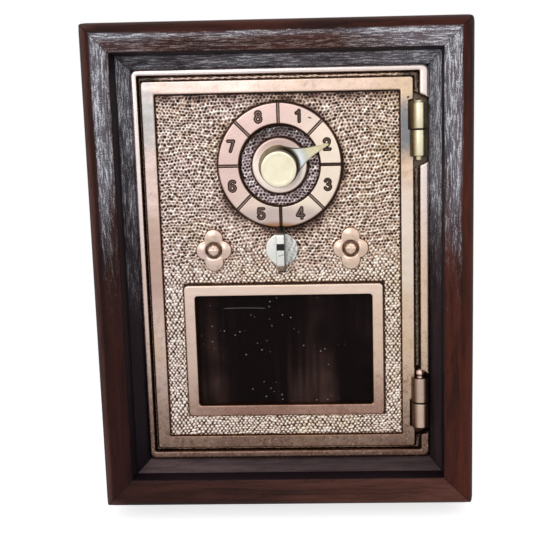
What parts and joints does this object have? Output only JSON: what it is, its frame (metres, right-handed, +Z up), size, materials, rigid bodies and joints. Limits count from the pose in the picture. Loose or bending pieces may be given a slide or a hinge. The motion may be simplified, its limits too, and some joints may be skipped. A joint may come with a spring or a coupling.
{
  "type": "post office box door in wooden bank box",
  "caption": "Small standing wooden box with a cast brass post office box door: dial pointer, thumb turn, window, gated wheel lock, sliding bolt and hinges",
  "frame": {"origin": "middle of the plan of the bounding box, on the plane that the feet stand on", "axes": "+Z up, front of the door faces -Y, hinge side at +X"},
  "size_m": [0.114, 0.1038, 0.15],
  "materials": {
    "stained_wood": "dark stained open-pored hardwood under a thin worn polish",
    "lining_wood": "dark stained hardwood, bevelled",
    "panel_wood": "stained plain panel",
    "steel_screw": "slotted steel screws, dull",
    "foot_rubber": "black moulded rubber",
    "frame_brass": "cast brass, aged, edges polished by handling",
    "door_brass": "cast brass with a pebbled field, dark in the hollows",
    "window_glass": "flat glass, darkened by age",
    "lock_brass": "machined brass, dull",
    "lock_steel": "turned steel",
    "pointer_brass": "pale yellow brass, satin",
    "turn_nickel": "nickelled, worn bright"
  },
  "bodies": {
    "box": {"top_board": "stained_wood", "bottom_board": "stained_wood", "left_board": "stained_wood", "right_board": "stained_wood", "liner_top": "lining_wood", "liner_bottom": "lining_wood", "liner_left": "lining_wood", "liner_right": "lining_wood", "back_panel": "panel_wood", "back_screws": "steel_screw", "bumper_feet": "foot_rubber", "foot_screws": "steel_screw", "door_frame": "frame_brass", "frame_screws": "steel_screw", "upper_hinge_pin": "frame_brass", "lower_hinge_pin": "frame_brass"},
    "door": {"door_casting": "door_brass", "window_glass": "window_glass", "glass_retainer": "lock_brass", "retainer_screws": "lock_steel", "spindle_sleeve": "lock_brass", "sleeve_screws": "lock_steel", "wheel_spacers": "lock_brass", "turn_bush": "lock_brass", "bolt_guides": "lock_brass", "guide_screws": "lock_steel"},
    "dial": {"pointer_knob": "pointer_brass", "spindle": "lock_steel", "drive_wheel": "lock_brass", "spindle_nut": "lock_steel"},
    "wheel_front": {"front_wheel": "lock_brass"},
    "wheel_middle": {"middle_wheel": "lock_brass"},
    "turn": {"thumb_turn": "turn_nickel", "turn_clip": "lock_steel", "friction_washer": "lock_steel", "fence_lever": "lock_brass", "fence_nut": "lock_steel"},
    "bolt": {"latch_bolt": "lock_brass"}
  },
  "joints": [
    {"name": "door_hinge", "type": "hinge", "parent": "box", "child": "door", "pos_m": [0.0416, -0.0405, 0.077], "axis": [0, 0, 1], "range_deg": [0, 110]},
    {"name": "dial_spin", "type": "hinge", "parent": "door", "child": "dial", "pos_m": [-0.0005, -0.0399, 0.1085], "axis": [0, 1, 0], "continuous": true},
    {"name": "wheel_front_spin", "type": "hinge", "parent": "door", "child": "wheel_front", "pos_m": [-0.0005, -0.0299, 0.1085], "axis": [0, 1, 0], "continuous": true},
    {"name": "wheel_middle_spin", "type": "hinge", "parent": "door", "child": "wheel_middle", "pos_m": [-0.0005, -0.0269, 0.1085], "axis": [0, 1, 0], "continuous": true},
    {"name": "thumb_turn_swing", "type": "hinge", "parent": "door", "child": "turn", "pos_m": [-0.0005, -0.0399, 0.0832], "axis": [0, 1, 0], "range_deg": [0, 50]},
    {"name": "bolt_slide", "type": "slide", "parent": "door", "child": "bolt", "axis": [-1, 0, 0], "range_m": [0, 0.005]}
  ],
  "couplings": [
    {"joint": "wheel_front_spin", "follows": "dial_spin", "ratio": 1},
    {"joint": "wheel_middle_spin", "follows": "dial_spin", "ratio": 1},
    {"joint": "thumb_turn_swing", "follows": "bolt_slide", "rad_per_m": 174.5}
  ]
}
